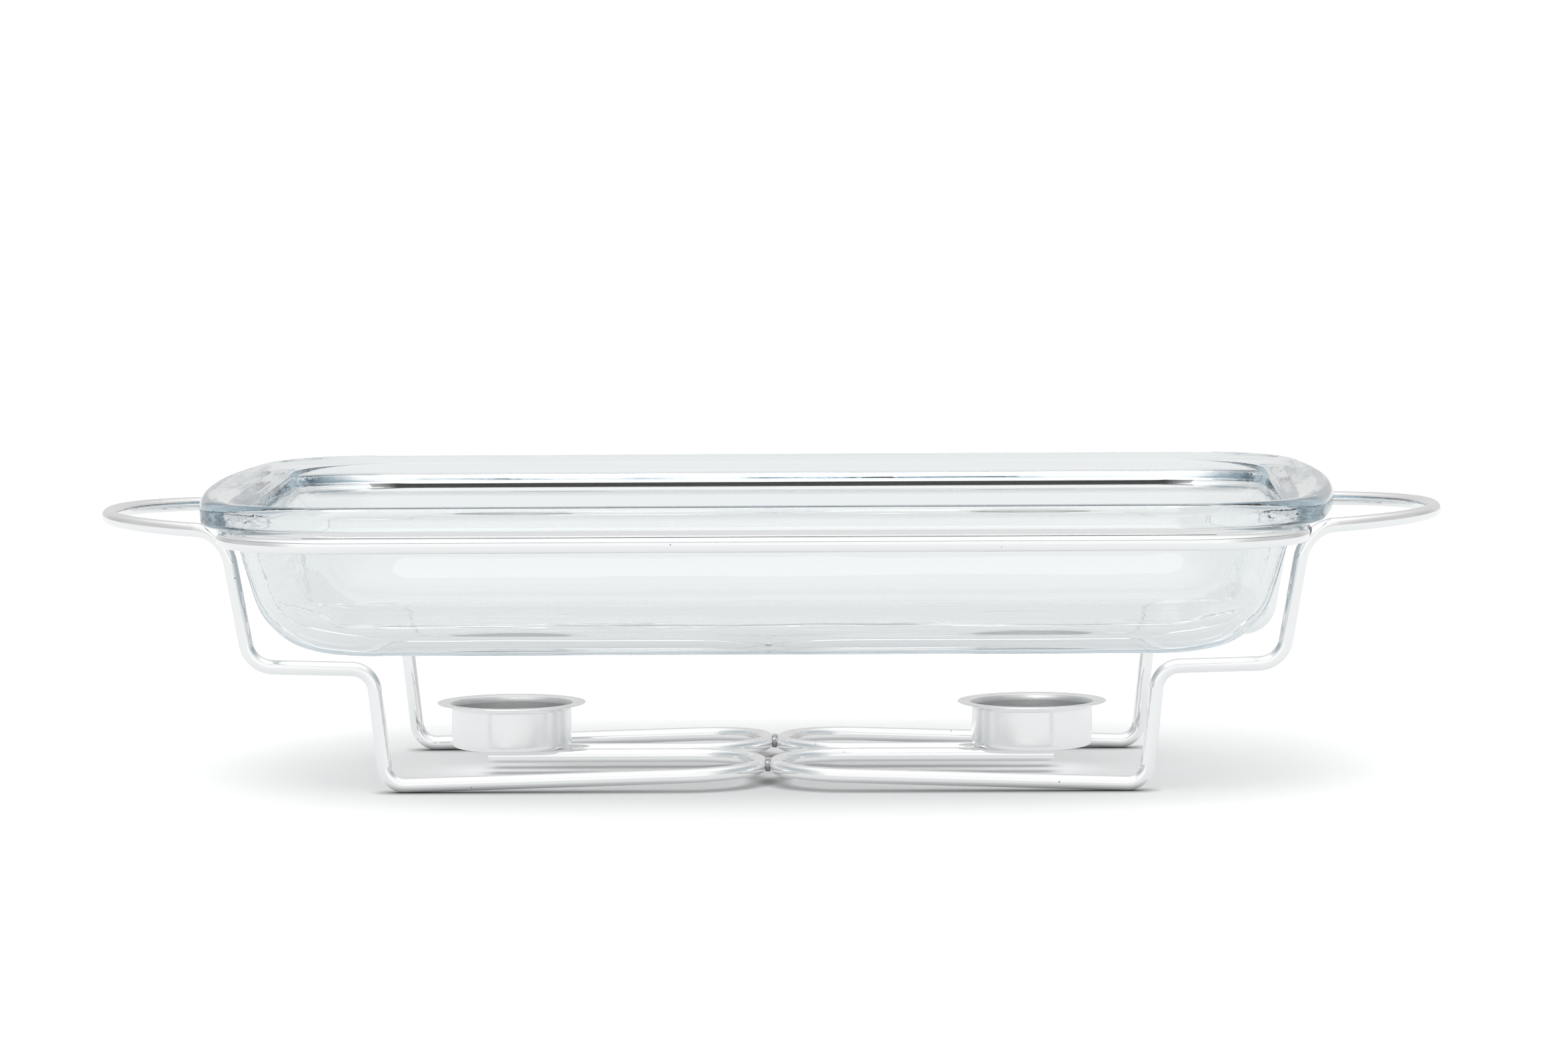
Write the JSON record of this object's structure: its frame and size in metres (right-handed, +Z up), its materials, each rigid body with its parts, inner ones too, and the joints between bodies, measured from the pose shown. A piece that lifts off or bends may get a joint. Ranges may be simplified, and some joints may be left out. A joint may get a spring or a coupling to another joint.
{
  "type": "food warmer",
  "caption": "Glass baking dish that lifts off a chromed wire stand with tealight cups under it and a wire handle at each end.",
  "frame": {"origin": "on the table, under the middle of the dish", "axes": "+X along the long side towards the right handle, -Y the front, +Z up"},
  "size_m": [0.462, 0.2488, 0.1014],
  "materials": {
    "clear_glass": "polished",
    "chromed_wire": "polished",
    "chromed_cup": "polished",
    "chromed_weld": "polished"
  },
  "bodies": {
    "stand": {"support_rail": "chromed_wire", "left_end_wire": "chromed_wire", "right_end_wire": "chromed_wire", "left_candle_cup": "chromed_cup", "right_candle_cup": "chromed_cup", "front_left_rail_weld": "chromed_weld", "front_right_rail_weld": "chromed_weld", "rear_left_rail_weld": "chromed_weld", "rear_right_rail_weld": "chromed_weld", "front_base_weld": "chromed_weld", "rear_base_weld": "chromed_weld", "left_cup_front_weld": "chromed_weld", "left_cup_rear_weld": "chromed_weld", "right_cup_front_weld": "chromed_weld", "right_cup_rear_weld": "chromed_weld"},
    "dish": {"glass_dish": "clear_glass"}
  },
  "joints": [
    {"name": "dish_lift", "type": "slide", "parent": "stand", "child": "dish", "axis": [0, 0, 1], "range_m": [0, 0.12]}
  ]
}
